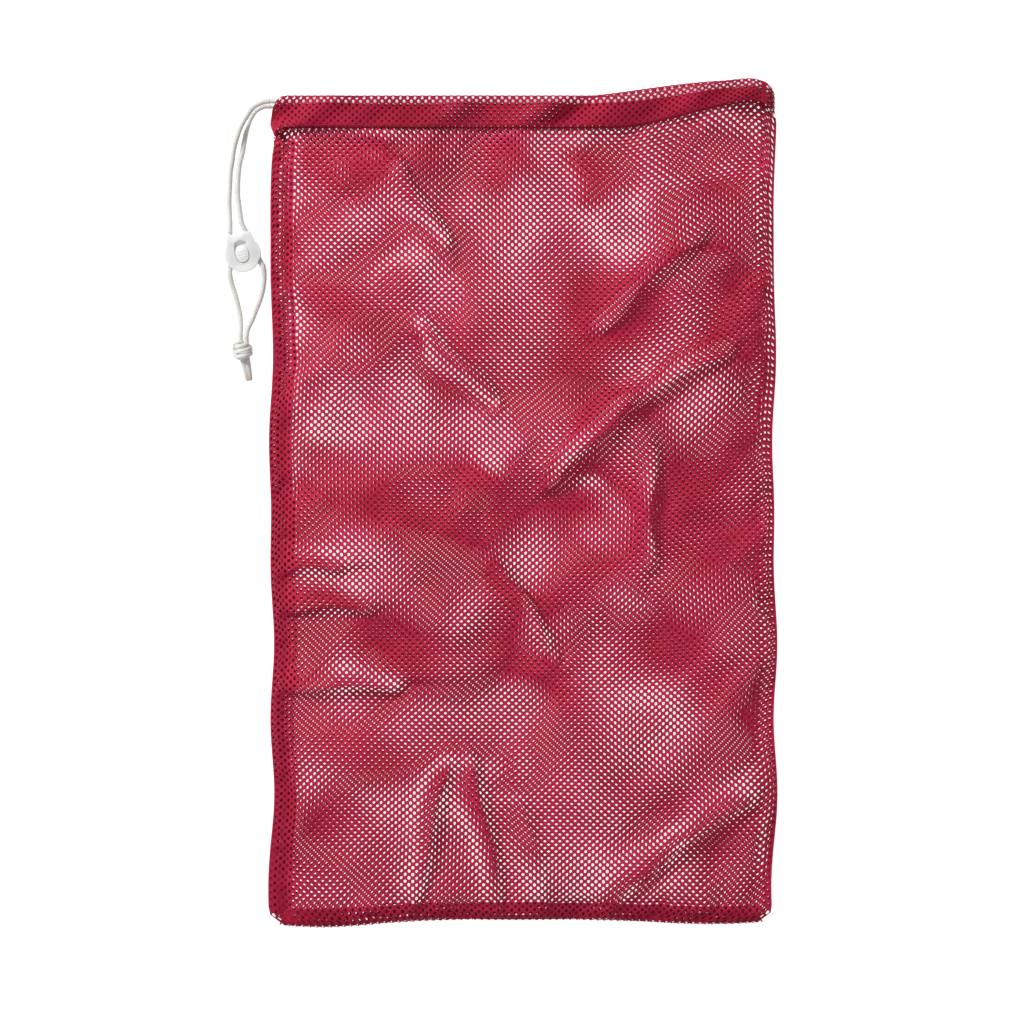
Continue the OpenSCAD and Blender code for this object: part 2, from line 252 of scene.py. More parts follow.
def fabric_material(name, dark, mid, light, painted_seam_shade=None):
    """Dyed polyester yarn. A given seam colour is painted shade: it darkens the yarn where the seam
    allowances lie between the panels, standing in for the shade of the extra layers of cloth.
    """
    material, tree, shader, place = new_material(name)
    broad = noise_value(tree, 18, 3, place)
    base = ramp_colour(tree, broad, [(0.3, dark), (0.5, mid), (0.72, light)])
    # Painted shade: a darker band along the left seam and along the foot, where the seam allowances lie
    # between the panels
    if painted_seam_shade is not None:
        painted_shade_band = tree.nodes.new("ShaderNodeMath")
        painted_shade_band.operation = "MAXIMUM"
        bands = (("X", BAG_LOW.x + SEAM_W), ("Y", BAG_LOW.y + BOTTOM_SEAM_W))
        for socket, (axis, inner) in zip(painted_shade_band.inputs, bands):
            tree.links.new(position_ramp(tree, place, axis, inner, inner - SEAM_FADE), socket)
        base = mixed_colour(tree, painted_shade_band.outputs["Value"], base, painted_seam_shade)
    tree.links.new(base, shader.inputs["Base Color"])
    fine_surface(tree, noise_value(tree, 2600, 2, place), (0.62, 0.82), 0.5, 0.0002)
    shader.inputs["Sheen Weight"].default_value = 0.06
    shader.inputs["Sheen Roughness"].default_value = 0.4
    shader.inputs["Specular IOR Level"].default_value = 0.18
    return material


MESH_FABRIC = fabric_material(
    "mesh_fabric",
    (0.40, 0.010, 0.044),
    (0.48, 0.015, 0.060),
    (0.55, 0.020, 0.075),
    # The colour of the painted shade along the seams
    painted_seam_shade=(0.37, 0.008, 0.040),
)


# ---------------------------------------------------------------- cord material and shapes


def cord_material(name, colour, shade, amber=None, amber_from=0.0, amber_to=1.0, painted_glow=0.0):
    """Bleached braid; amber colours a melted end between two heights. A glow is painted light: the cord
    gives off a faint bluish light, fading out near the bag's left edge.
    """
    material, tree, shader, place = new_material(name)
    base = ramp_colour(tree, noise_value(tree, 900, 3, place), [(0.3, shade), (0.6, colour)])
    if amber is not None:
        base = mixed_colour(tree, position_ramp(tree, place, "Y", amber_from, amber_to), base, amber)
    tree.links.new(base, shader.inputs["Base Color"])
    fine_surface(tree, noise_value(tree, 5200, 2, place), (0.5, 0.75), 0.35, 0.0001)
    shader.inputs["Sheen Weight"].default_value = 0.2
    if painted_glow:
        # Painted light: emission from the cord, off near the bag's left edge and on beyond it
        inside = position_ramp(tree, place, "X", BAG_LOW.x + 2 * MM, BAG_LOW.x + 8 * MM, painted_glow)
        tree.links.new(inside, shader.inputs["Emission Strength"])
        shader.inputs["Emission Color"].default_value = (0.88, 0.92, 1, 1)
    return material


def plastic_material(name):
    """Moulded white plastic with a faint orange-peel surface."""
    material, tree, shader, place = new_material(name)
    dull, clean = (0.83, 0.825, 0.805), (0.87, 0.865, 0.845)
    tint = ramp_colour(tree, noise_value(tree, 120, 2, place), [(0.3, dull), (0.7, clean)])
    tree.links.new(tint, shader.inputs["Base Color"])
    fine_surface(tree, noise_value(tree, 1500, 2, place), (0.34, 0.5), 0.15, 0.00008)
    shader.inputs["Subsurface Weight"].default_value = 0.6
    shader.inputs["Subsurface Radius"].default_value = (1.0, 0.95, 0.85)
    shader.inputs["Subsurface Scale"].default_value = 0.01
    return material


BRAID_WHITE = (0.70, 0.69, 0.66)
BRAID_SHADE = (0.57, 0.56, 0.53)
CORD_WHITE = cord_material("braided_cord", BRAID_WHITE, BRAID_SHADE)
# Painted light: the cord inside the channel is lighter than the loose cord and glows, standing in for
# the light seen through the fold of the mouth
CORD_IN_HEM_PAINTED_LIGHT = cord_material("braided_cord_in_hem", (0.80, 0.80, 0.79), (0.70, 0.70, 0.69), painted_glow=0.45)

RING_STEP = 0.4 * MM
CORD_SIDES = 36
PLAIT_PITCH = 3.2 * MM
PLAIT_HEIGHT = 0.24 * MM
PLAIT_STARTS = 6


def smooth_path(points, step=RING_STEP):
    """Evenly spaced points along a smooth curve through the given ones."""
    p = np.asarray(points, float)
    p = np.vstack([2 * p[0] - p[1], p, 2 * p[-1] - p[-2]])
    t = np.linspace(0, 1, 24, endpoint=False)[:, None]
    parts = []
    for a, b, c, d in zip(p[:-3], p[1:-2], p[2:-1], p[3:]):
        curve = (2 * a - 5 * b + 4 * c - d) * t**2 + (3 * b - a - 3 * c + d) * t**3
        parts.append(0.5 * (2 * b + (c - a) * t + curve))
    fine = np.vstack([*parts, p[-2][None]])
    run = np.concatenate([[0], np.cumsum(np.linalg.norm(np.diff(fine, axis=0), axis=1))])
    at = np.linspace(0, run[-1], max(4, int(run[-1] / step)))
    return np.stack([np.interp(at, run, fine[:, k]) for k in range(3)], axis=1), run[-1]


def braid(path, radius, sides=CORD_SIDES):
    """Points and faces of a plaited tube along a path; radius is one value or one a ring."""
    radius = np.broadcast_to(radius, len(path))
    tangent = np.gradient(path, axis=0)
    tangent /= np.linalg.norm(tangent, axis=1)[:, None]
    side = np.zeros_like(path)
    side[0] = np.cross(tangent[0], (0, 0, 1) if abs(tangent[0][2]) < 0.9 else (1, 0, 0))
    side[0] /= np.linalg.norm(side[0])
    for i in range(1, len(path)):
        side[i] = side[i - 1] - tangent[i] * np.dot(side[i - 1], tangent[i])
        side[i] /= np.linalg.norm(side[i])
    up = np.cross(side, tangent)
    angle = np.linspace(0, 2 * math.pi, sides, endpoint=False)[None]
    along = (np.arange(len(path)) * RING_STEP * 2 * math.pi / PLAIT_PITCH)[:, None]
    one_way = np.sin(PLAIT_STARTS * angle / 2 + along / 2)
    other_way = np.sin(PLAIT_STARTS * angle / 2 - along / 2)
    plait = np.abs(one_way * other_way)
    r = radius[:, None] - PLAIT_HEIGHT + PLAIT_HEIGHT * plait
    points = path[:, None] + r[..., None] * (
        np.cos(angle)[..., None] * side[:, None] + np.sin(angle)[..., None] * up[:, None]
    )
    ring = np.arange(sides)
    following = (ring + 1) % sides
    faces = []
    for i in range(len(path) - 1):
        a = i * sides
        faces.extend(zip(a + ring, a + following, a + sides + following, a + sides + ring))
    faces.append(tuple(ring[::-1]))
    faces.append(tuple((len(path) - 1) * sides + ring))
    return points.reshape(-1, 3), faces


def join_shapes(shapes):
    """One list of points and faces from several."""
    points, faces, start = [], [], 0
    for p, f in shapes:
        points.append(p)
        faces.extend(tuple(int(k) + start for k in face) for face in f)
        start += len(p)
    return np.vstack(points), faces


# ---------------------------------------------------------------- drawstring routes

# The lock's place and shape, and where the cord leaves the mouth, as in the CAD model
LOCK_PLACE = np.array((-212.3, 187, 0)) * MM
LOCK_TILT = math.radians(13)
FLARE = math.radians(13)
LOCK_TOP_Y = 14.5 * MM
CAVITY_BOTTOM_Y = -8.6 * MM
CORD_IN_LOCK_PROUD = 2 * MM
LOCK_T = 8 * MM
CHANNEL_W = 4.5 * MM
LOCK_TOP_W = 19.4 * MM
LOCK_WALL = 1.1 * MM
CORD_TOP_X = LOCK_TOP_W / 2 - (LOCK_WALL + CHANNEL_W / 2) / math.cos(FLARE)
CORD_IN_LOCK_L = (LOCK_TOP_Y - CAVITY_BOTTOM_Y) / math.cos(FLARE) + CORD_IN_LOCK_PROUD
STRAND_GAP = 0.3 * MM
STRAND_STRAIGHT = 6 * MM


def lock_point(side, down):
    """A point down the middle of a cord in the lock, at a distance past the lock's top edge."""
    x = side * (CORD_TOP_X + down * math.sin(FLARE))
    y = LOCK_TOP_Y - down * math.cos(FLARE)
    turn_c, turn_s = math.cos(LOCK_TILT), math.sin(LOCK_TILT)
    return LOCK_PLACE + np.array((x * turn_c - y * turn_s, x * turn_s + y * turn_c, LOCK_T / 2))


def into_lock(side):
    """The straight last stretch of a strand above the lock."""
    return [lock_point(side, -CORD_IN_LOCK_PROUD - far) for far in (STRAND_STRAIGHT, STRAND_GAP)]


def out_of_lock(side):
    """The straight first stretch of a strand below the lock."""
    foot = CORD_IN_LOCK_L - CORD_IN_LOCK_PROUD
    return [lock_point(side, foot + far) for far in (STRAND_GAP, STRAND_STRAIGHT)]


def in_mm(points):
    """Points given in millimetres, as arrays in metres."""
    return [np.array(point) * MM for point in points]


ON_TABLE = CORD_R / MM
HEM_CORD_EXIT_FRONT = (-190.3, 300.2, 14.4)
HEM_CORD_EXIT_BACK = (-190.3, 298.2, 3)
OUTER_UPPER = in_mm([
    HEM_CORD_EXIT_FRONT,
    (-196, 299.5, 14), (-203, 296, 12.5), (-208, 290, 10.5), (-212.5, 282.5, 9),
    (-216, 274, 7), (-218.5, 265.5, 5.5), (-220, 256.5, 4), (-221.5, 248, 2.5),
    (-222, 239, ON_TABLE), (-222.5, 230.5, ON_TABLE), (-222.5, 222, ON_TABLE), (-222, 214, 3),
]) + into_lock(-1)
INNER_UPPER = in_mm([
    HEM_CORD_EXIT_BACK,
    (-196, 298, 3), (-202.5, 294.5, 2.5), (-207, 287.5, ON_TABLE), (-209.5, 279.5, ON_TABLE),
    (-211, 271.5, ON_TABLE), (-212.5, 263, ON_TABLE), (-214.5, 255, ON_TABLE),
    (-215.5, 247, ON_TABLE), (-216, 239, ON_TABLE), (-216, 230.5, ON_TABLE),
    (-215, 222.5, 2.5), (-214, 216, 3.5),
]) + into_lock(1)
OUTER_LOWER = out_of_lock(-1) + in_mm([
    (-220, 162, 2.5), (-217.5, 154, ON_TABLE), (-215.5, 145.5, ON_TABLE), (-214, 137.5, 3),
    (-213.5, 130, 5), (-213.5, 123.5, 7), (-213.5, 118, 7),
])
INNER_LOWER = out_of_lock(1) + in_mm([
    (-196, 168.5, 2.5), (-197, 160, ON_TABLE), (-199, 152, ON_TABLE), (-202, 144.5, ON_TABLE),
    (-205, 136.5, 3), (-208, 129.5, 5), (-209, 123.5, 7), (-209, 118, 7),
])
KNOT_PLACE = np.array((-211, 113, 7)) * MM
KNOT_L = 14 * MM
KNOT_R = 7 * MM
KNOT_TURN = math.radians(6)
KNOT_BIGHT = [
    (2, 5, -1), (-2.5, 6, 2), (-6, 4.5, 1), (-7, 0.5, -1), (-5.5, -4.5, 0), (-1, -5.5, 2), (3, -4, 1),
]
TAIL_START = np.array((-210, 106, 5.6)) * MM
TAIL_TURN = math.radians(10)
TAIL_DROP = math.radians(13)
TAIL_L = 16 * MM
# The two ends lie this far from the tail's middle, come together, and thin from the knot to the tip
TAIL_SPREAD = 1.5 * MM
TAIL_CLOSING = 0.7 * MM
TAIL_SWELL = 1.15
TAIL_THINNER = 0.3


def make_strand(name, route, node):
    """A braided piece along a route in place of a CAD node, with its path and its length."""
    path, length = smooth_path(route)
    piece = new_mesh(name, *braid(path, CORD_R), CORD_WHITE)
    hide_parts(node)
    return piece, path, length


def make_knot():
    """The overhand knot: two strands through three wraps, with one wrap crossing over the others."""
    turn = np.linspace(0, 1, 260)
    axis = np.array((math.sin(KNOT_TURN), -math.cos(KNOT_TURN), 0))
    across = np.array((math.cos(KNOT_TURN), math.sin(KNOT_TURN), 0))
    up = np.array((0, 0, 1))

    def wound(turns, start, reach, radius, span):
        spin = start + turns * 2 * math.pi * turn
        drift = (turn - 0.5) * span + reach * np.sin(spin)
        swell = radius * (1 - 0.35 * np.abs(2 * turn - 1) ** 6)
        return (
            KNOT_PLACE
            + drift[:, None] * axis
            + (swell * np.cos(spin))[:, None] * across
            + (swell * np.sin(spin))[:, None] * up
        )

    wrap_r = KNOT_R - CORD_R
    wraps = wound(turns=2.6, start=0.4, reach=1.2 * MM, radius=wrap_r, span=KNOT_L - CORD_D)
    crossing = wound(turns=-0.8, start=2.6, reach=4 * MM, radius=wrap_r, span=0.5 * KNOT_L)
    wraps, _ = smooth_path(wraps[::6])
    crossing, _ = smooth_path(crossing[::6])
    # The bight that stands out of the knot on the side away from the bag
    bight, _ = smooth_path([KNOT_PLACE + offset for offset in in_mm(KNOT_BIGHT)])
    shapes = [braid(wraps, CORD_R), braid(crossing, CORD_R * 0.95), braid(bight, CORD_R * 0.9)]
    for side in (-1, 1):
        ends = [KNOT_PLACE + side * CORD_R * across + far * KNOT_L / 2 * axis for far in (-1, 0, 1)]
        through, _ = smooth_path(ends)
        shapes.append(braid(through, CORD_R))
    piece = new_mesh("end_knot_tied", *join_shapes(shapes), CORD_WHITE)
    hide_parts("end_knot")
    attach(piece, "root")
    return piece


def make_tail():
    """The two cut ends below the knot, melted together at the tip."""
    axis = np.array((
        math.sin(TAIL_TURN) * math.cos(TAIL_DROP),
        -math.cos(TAIL_TURN) * math.cos(TAIL_DROP),
        -math.sin(TAIL_DROP),
    ))
    across = np.array((math.cos(TAIL_TURN), math.sin(TAIL_TURN), 0))
    shapes = []
    for side in (-1, 1):
        points = [
            TAIL_START + far * TAIL_L * axis + side * (TAIL_SPREAD - TAIL_CLOSING * far) * across
            for far in (-0.1, 0.2, 0.5, 0.8, 1)
        ]
        path, _ = smooth_path(points)
        thin = (TAIL_SWELL - TAIL_THINNER * np.linspace(0, 1, len(path)) ** 3) * CORD_R
        shapes.append(braid(path, thin))
    tip = TAIL_START[1] - TAIL_L * math.cos(TAIL_DROP)
    melted = cord_material("fused_tip", BRAID_WHITE, BRAID_SHADE, (0.60, 0.48, 0.34), tip + 6 * MM, tip)
    piece = new_mesh("fused_tail", *join_shapes(shapes), melted)
    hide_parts("cord_tail")
    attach(piece, "root")
    return piece


def make_cords():
    knot = make_knot()
    tail = make_tail()
    for name, route, node in (
        ("outer_upper", OUTER_UPPER, "outer_strand_upper"),
        ("inner_upper", INNER_UPPER, "inner_strand_upper"),
    ):
        piece, path, length = make_strand(name + "_braid", route, node)
        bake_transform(piece)
    for name, route, node, extra in (
        ("outer_lower", OUTER_LOWER, "outer_strand_lower", [knot, tail]),
        ("inner_lower", INNER_LOWER, "inner_strand_lower", []),
    ):
        piece, path, length = make_strand(name + "_braid", route, node)
        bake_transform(piece)
    for side, node in ((-1, "outer_strand_in_lock"), (1, "inner_strand_in_lock")):
        down = np.linspace(-CORD_IN_LOCK_PROUD, CORD_IN_LOCK_L - CORD_IN_LOCK_PROUD, 5)
        piece, _, _ = make_strand(node + "_braid", [lock_point(side, far) for far in down], node)
        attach(piece, "lock")


make_cords()


# ---------------------------------------------------------------- cord lock

LOCK_PLASTIC = plastic_material("lock_plastic")
EDGE_ROUND = 0.6 * MM


def rounded_copy(node, name, body):
    """The CAD node's own shape with its moulded edges rounded."""
    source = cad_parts[node]
    data = source.data.copy()
    shape = bmesh.new()
    shape.from_mesh(data)
    bmesh.ops.remove_doubles(shape, verts=shape.verts, dist=1e-6)
    bmesh.ops.dissolve_limit(shape, angle_limit=math.radians(2), verts=shape.verts, edges=shape.edges)
    least = math.radians(35)
    sharp = [e for e in shape.edges if len(e.link_faces) == 2 and e.calc_face_angle(0) > least]
    bmesh.ops.bevel(
        shape, geom=sharp, offset=EDGE_ROUND, segments=3, profile=0.5, affect="EDGES", clamp_overlap=True
    )
    bmesh.ops.recalc_face_normals(shape, faces=shape.faces)
    shape.to_mesh(data)
    shape.free()
    data.materials.clear()
    data.materials.append(LOCK_PLASTIC)
    data.shade_smooth()
    data.set_sharp_from_angle(angle=math.radians(40))
    piece = bpy.data.objects.new(name, data)
    SCENE.collection.objects.link(piece)
    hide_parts(node)
    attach(piece, body)


rounded_copy("lock_housing", "lock_housing_moulded", "lock")
rounded_copy("lock_wedge", "lock_wedge_moulded", "wedge")


# ---------------------------------------------------------------- outline of the bag

MOUTH_SLANT = math.radians(2)
CORNER_R = 14 * MM

# The mouth is level over most of its width and climbs to the right-hand corner
MOUTH_RISE = 2 * HALF_W * math.tan(MOUTH_SLANT)
CLIMB_START = 0.35 * HALF_W
CLIMB_END = 0.95 * HALF_W
# The back channel climbs sooner and so shows above the front one, and again a little near the left end
BACK_CLIMB_START = 0.1 * HALF_W
BACK_CLIMB_END = 0.85 * HALF_W
BACK_PEEK = 2 * MM
BACK_PEEK_AT = 0.75 * HALF_W
BACK_PEEK_REACH = 0.12 * HALF_W
# Both ends of the mouth are rounded, and dip by a share of the round
MOUTH_CORNER_LEFT = 10 * MM
MOUTH_CORNER_RIGHT = 22 * MM
MOUTH_CORNER_DIP = 0.7
# The channel gets shallower towards the right-hand corner, where the cord turns back
HEM_SHALLOWER = 0.3
SHALLOWER_START = 0.35 * HALF_W
SHALLOWER_OVER = 0.6 * HALF_W
# The side is drawn in a little just under the channel, on the left
PINCH = 3 * MM
PINCH_REACH = 9 * MM
# How far the side edges of the lying cloth wander
EDGE_WANDER = 1 * MM
# How far the foot hangs near its left corner, the share of that at the right, and where
FOOT_DROOP = 6 * MM
RIGHT_DROOP = 0.6
LEFT_DROOP_AT = 0.8 * HALF_W
RIGHT_DROOP_AT = 0.75 * HALF_W
DROOP_ACROSS = 0.3 * HALF_W
DROOP_REACH = 90 * MM


def mouth_y(x, back=False):
    """Height up the bag of the mouth's fold, in the front or the back channel."""
    start, end = (BACK_CLIMB_START, BACK_CLIMB_END) if back else (CLIMB_START, CLIMB_END)
    climb = smooth_step((x - start) / (end - start))
    corner = np.where(x < 0, MOUTH_CORNER_LEFT, MOUTH_CORNER_RIGHT)
    near = np.clip(HALF_W - np.abs(x), 0, corner)
    dip = corner - np.sqrt(corner**2 - (corner - near) ** 2)
    peek = BACK_PEEK * np.exp(-(((x + BACK_PEEK_AT) / BACK_PEEK_REACH) ** 2)) if back else 0
    return MOUTH_HIGH.y - MOUTH_RISE * (1 - climb) - MOUTH_CORNER_DIP * dip + peek


def hem_depth(x):
    """How far the channel's stitching lies below the mouth's fold."""
    return HEM_H * (1 - HEM_SHALLOWER * smooth_step((x - SHALLOWER_START) / SHALLOWER_OVER))


def half_width(y):
    """Half width of the bag, drawn in by the round bottom corners."""
    rise = np.clip(y - FOOT_Y, 0, CORNER_R)
    return HALF_W - CORNER_R + np.sqrt(CORNER_R**2 - (CORNER_R - rise) ** 2)


# ---------------------------------------------------------------- mesh fabric

# The knitted net: holes in staggered rows, a cell's width and height, and the shape of a cell
CELL_W = 5.5 * MM
CELL_H = 5.1 * MM
CELL_SHOULDER = 0.35 * MM
HOLE_W = 1.26 * MM
HOLE_H = 1.44 * MM
YARN_RISE = 0.15 * MM
YARN_DROP = 0.25 * MM


def net_pattern(width, length, hole):
    """Flat points and faces of perforated cloth, and how far each point stands off it."""
    columns = max(2, round(width / CELL_W))
    rows = max(2, round(length / (CELL_H / 2)) - 1)
    tall = length / (rows + 1)
    wide = width / columns
    corners = np.array([
        (0, tall - CELL_SHOULDER), (-wide / 2, CELL_SHOULDER), (-wide / 2, -CELL_SHOULDER),
        (0, -tall + CELL_SHOULDER), (wide / 2, -CELL_SHOULDER), (wide / 2, CELL_SHOULDER),
    ])
    angle = np.radians([90, 150, 210, 270, 330, 30])
    ring = hole * np.stack([HOLE_W * np.cos(angle), HOLE_H * np.sin(angle)], axis=1)
    whole, halves = [], []
    for j in range(rows):
        y = (j + 1) * tall
        if j % 2 == 0:
            whole.extend(((i + 0.5) * wide, y) for i in range(columns))
        else:
            whole.extend((i * wide, y) for i in range(1, columns))
            halves.extend([(0, y, 1), (width, y, -1)])
    centres = np.array(whole)
    outer = centres[:, None] + corners[None]
    inner = centres[:, None] + ring[None]
    extra = [[(x, y + corners[0][1]), (x, y + corners[3][1])] for x, y, _ in halves]
    extra_side = [
        [(x + s * wide / 2, y - CELL_SHOULDER), (x + s * wide / 2, y + CELL_SHOULDER)]
        for x, y, s in halves
    ]
    net_points = np.vstack([np.reshape(part, (-1, 2)) for part in (outer, extra, extra_side)])
    keys = np.round(net_points / (1e-3 * MM)).astype(np.int64)
    _, first, shared = np.unique(keys, axis=0, return_index=True, return_inverse=True)
    shared = shared.reshape(-1)
    knots = net_points[first]
    n = len(whole)
    outer_id = shared[: 6 * n].reshape(n, 6)
    inner_id = len(knots) + np.arange(6 * n).reshape(n, 6)
    quads = np.stack(
        [outer_id, np.roll(outer_id, -1, axis=1), np.roll(inner_id, -1, axis=1), inner_id], axis=2
    ).reshape(-1, 4)
    ends = shared[6 * n: 6 * n + 2 * len(halves)].reshape(-1, 2)
    sides = shared[6 * n + 2 * len(halves):].reshape(-1, 2)
    turned = np.array([s > 0 for _, _, s in halves])
    patch = np.stack([ends[:, 0], ends[:, 1], sides[:, 0], sides[:, 1]], axis=1)
    patch[~turned] = patch[~turned][:, ::-1]
    quads = np.vstack([quads, patch])
    flat = np.vstack([knots, inner.reshape(-1, 2)])
    lift = np.concatenate([np.full(len(knots), YARN_RISE), np.full(6 * n, -YARN_DROP)])
    return flat, quads, lift


def net(name, width, length, place, material, flip=False, hole=1.0):
    """Perforated cloth of a flat size, its points laid out by place(u, v); hole scales its openings."""
    flat, quads, lift = net_pattern(width, length, hole)
    u, v = flat[:, 0] / width, flat[:, 1] / length
    base = place(u, v)
    nudge = 0.002
    across = place(u + nudge, v) - place(u - nudge, v)
    normal = np.cross(across, place(u, v + nudge) - place(u, v - nudge))
    normal /= np.maximum(np.linalg.norm(normal, axis=1), 1e-12)[:, None]
    if flip:
        normal = -normal
        quads = quads[:, ::-1]
    return new_mesh(name, base + lift[:, None] * normal, quads.tolist(), material)


# ---------------------------------------------------------------- how the cloth lies

# Creases, from one end to the other, in shares of the panel's width and height, and their rise in mm
CREASES = [
    ((0.25, 0.95), (0.35, 0.85), 2.5), ((0.30, 0.75), (0.45, 0.65), 3.0),
    ((0.90, 0.70), (0.70, 0.65), 3.0), ((0.70, 0.65), (0.55, 0.55), 3.0),
    ((0.85, 0.85), (0.65, 0.75), 2.0), ((0.75, 0.60), (0.75, 0.45), 2.0),
    ((0.45, 0.45), (0.55, 0.35), 2.5), ((0.15, 0.45), (0.00, 0.45), 2.5),
    ((0.20, 0.40), (0.00, 0.40), 2.5), ((0.25, 0.30), (0.00, 0.30), 2.5),
    ((0.35, 0.20), (0.25, 0.00), 3.0), ((0.40, 0.20), (0.45, 0.00), 3.0),
    ((0.50, 0.15), (0.55, 0.00), 2.0), ((0.95, 0.15), (0.80, 0.10), 2.5),
    ((0.80, 0.10), (0.65, 0.00), 2.5),
]
# The broad part of each crease: how far its steep and its soft side reach, and its gain in height
FOLD_STEEP = 6 * MM
FOLD_SOFT = 17 * MM
FOLD_GAIN = 2.0
# Small waves between the creases
RIPPLE_RISE = 0.25 * MM
SWELL_RISE = 0.8 * MM
# The fine edge of each crease: its height, how steep its two sides are and how far it leans over
EDGE_RISE = 1.3
EDGE_STEEP = 4 * MM
EDGE_SOFT = 11 * MM
EDGE_LEAN = 0.7
# How far each edge swings to and fro along its crease
CREASE_BEND = 3 * MM
# Places where the holes of the two layers line up, in the same shares, and how far that reaches
OPEN_SPOTS = [
    (0.15, 0.95), (0.45, 0.95), (0.65, 0.95), (0.85, 0.95), (0.25, 0.80), (0.35, 0.80),
    (0.85, 0.80), (0.25, 0.70), (0.15, 0.65), (0.45, 0.60), (0.70, 0.50), (0.70, 0.40),
    (0.40, 0.25), (0.50, 0.25), (0.50, 0.20), (0.75, 0.05), (0.90, 0.05), (0.10, 0.05), (0.65, 0.55),
]
SPOT_REACH_X = 26 * MM
SPOT_REACH_Y = 21 * MM
SPOT_WANDER = 6 * MM
# How far the back layer's holes are out of line elsewhere, and how much that varies
LAYER_SHIFT = 2.4 * MM
LAYER_DRIFT = 0.6 * MM
LAYER_SLIP = 0.6 * MM

# The panels' top edge goes under the channel's stitching, and the front panel is crowned
PANEL_UNDER_HEM = 2 * MM
CROWN = 1.6 * MM
# Soft random waves, each with its own wavelength
DRIFT_X = SmoothNoise(95 * MM)
DRIFT_Y = SmoothNoise(95 * MM)
RIPPLE = SmoothNoise(42 * MM)
SWELL = SmoothNoise(110 * MM)
SPOT_NOISE_X = SmoothNoise(55 * MM)
SPOT_NOISE_Y = SmoothNoise(55 * MM)
EDGE_NOISE = SmoothNoise(120 * MM)


def as_laid(x, y):
    """A point of the flat bag, moved to where the loose bag has it: wandering sides, low corners."""
    side = EDGE_WANDER * EDGE_NOISE(0 * x, y) * np.abs(x) / HALF_W
    near_foot = np.clip(1 - (y - FOOT_Y) / DROOP_REACH, 0, 1) ** 2
    low = FOOT_DROOP * np.exp(-(((x + LEFT_DROOP_AT) / DROOP_ACROSS) ** 2))
    low = low + RIGHT_DROOP * FOOT_DROOP * np.exp(-(((x - RIGHT_DROOP_AT) / DROOP_ACROSS) ** 2))
    return x + side, y - near_foot * low


def outline_point(u, v):
    """Where the share (u, v) of a panel lies on the table."""
    x = (2 * u - 1) * HALF_W
    top = mouth_y(x) - hem_depth(x) + PANEL_UNDER_HEM
    y = FOOT_Y + v * (top - FOOT_Y)
    x = (2 * u - 1) * half_width(y)
    pinch = PINCH * np.exp(-(((y - top) / PINCH_REACH) ** 2))
    x = x + pinch * np.clip(1 - 8 * u, 0, 1)
    return as_laid(x, y)


def fullness(u, v):
    """0 at the seams and the foot, 1 over the middle, as in the CAD panel."""
    across = np.clip(1 - np.abs(2 * u - 1) ** 7, 0, 1) ** 0.8
    along = np.clip(1 - (1 - np.clip(v / 0.35, 0, 1)) ** 4, 0, 1) ** 0.6
    return across * along


def crease_line(start, end):
    """Where a crease begins on the table, and its run from there to its end."""
    first, last = (np.array(outline_point(np.array(u), np.array(v))) for u, v in (start, end))
    return first, last - first


def crease_height(x, y):
    """The broad rise of the creases, steep on one side and soft on the other."""
    total = np.zeros_like(x)
    for start, end, rise in CREASES:
        first, run = crease_line(start, end)
        far_x, far_y = x - first[0], y - first[1]
        along = np.clip((far_x * run[0] + far_y * run[1]) / np.dot(run, run), 0, 1)
        off = np.hypot(far_x - along * run[0], far_y - along * run[1])
        side = run[0] * far_y - run[1] * far_x
        reach = np.where(side > 0, FOLD_STEEP, FOLD_SOFT)
        taper = 0.4 + 0.6 * np.sin(math.pi * np.clip(along, 0.05, 0.95))
        total += FOLD_GAIN * rise * MM * taper * np.exp(-((off / reach) ** 2))
    return total


def front_start(u, v):
    """The front panel before it settles: the CAD panel's shape with its creases begun."""
    u, v = np.clip(u, 0, 1), np.clip(v, 0, 1)
    x, y = outline_point(u, v)
    full = fullness(u, v)
    rise = BAG_TOP_Z - 2 * MESH_T + CROWN * (np.sin(math.pi * u) * np.sin(math.pi * v)) ** 2
    z = 1.5 * MESH_T + rise * full * 0.93
    lift = crease_height(x, y) - 2 * MM + RIPPLE_RISE * RIPPLE(x, y) + SWELL_RISE * SWELL(x, y)
    z = z + full * lift
    return np.stack([x, y, z], axis=-1)


# The settling cloth's grid and frames, its spare length as a share, and the most a point may move
SIM_ACROSS = 64
SIM_ALONG = 104
SIM_FRAMES = 26
CLOTH_EASE = 0.014
MOVE_CAP = 5 * MM


